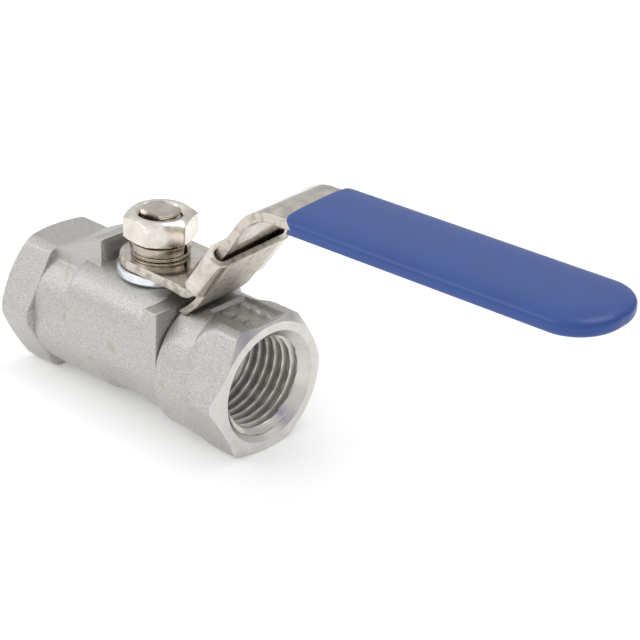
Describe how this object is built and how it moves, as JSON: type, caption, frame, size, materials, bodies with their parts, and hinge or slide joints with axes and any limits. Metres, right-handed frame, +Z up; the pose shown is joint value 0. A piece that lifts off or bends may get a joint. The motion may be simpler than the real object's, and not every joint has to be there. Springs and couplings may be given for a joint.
{
  "type": "ball valve",
  "caption": "Small one-piece reduced-bore ball valve with hexagonal female-threaded ends, a stamped steel lever with a blue vinyl sleeve, and a quarter-turn stem.",
  "frame": {"origin": "where the stem axis crosses the pipe axis", "axes": "+X along the pipe towards the port under the lever, +Z up along the stem"},
  "size_m": [0.0879, 0.019, 0.0364],
  "materials": {
    "cast_steel": "investment-cast stainless steel, satin, with turned end faces",
    "turned_steel": "turned stainless steel",
    "polished_ball": "ground and polished stainless steel",
    "stem_steel": "turned stainless steel",
    "gland_steel": "turned stainless steel",
    "sheet_steel": "tumbled stainless sheet with sheared edges",
    "washer_steel": "stainless spring steel",
    "nut_steel": "cold-formed stainless steel, bright",
    "ptfe": "PTFE, moulded and skived",
    "sleeve_vinyl": "dip-moulded PVC, semi-gloss blue"
  },
  "bodies": {
    "valve_body": {"body": "cast_steel", "seat_retainer": "turned_steel", "retainer_seal": "ptfe", "seat_near": "ptfe", "seat_far": "ptfe", "thrust_washer": "ptfe", "packing_ring_1": "ptfe", "packing_ring_2": "ptfe", "packing_ring_3": "ptfe", "gland_ring": "gland_steel"},
    "lever_and_stem": {"lever": "sheet_steel", "stop_plate": "sheet_steel", "stem": "stem_steel", "flat_washer": "washer_steel", "spring_washer": "washer_steel", "stem_nut": "nut_steel", "lever_sleeve": "sleeve_vinyl"},
    "ball": {"ball": "polished_ball"}
  },
  "joints": [
    {"name": "lever_turn", "type": "hinge", "parent": "valve_body", "child": "lever_and_stem", "pos_m": [0, 0, 0], "axis": [0, 0, 1], "range_deg": [0, 90]},
    {"name": "ball_turn", "type": "hinge", "parent": "valve_body", "child": "ball", "pos_m": [0, 0, 0], "axis": [0, 0, 1], "range_deg": [0, 90]}
  ],
  "couplings": [
    {"joint": "ball_turn", "follows": "lever_turn", "ratio": 1}
  ]
}
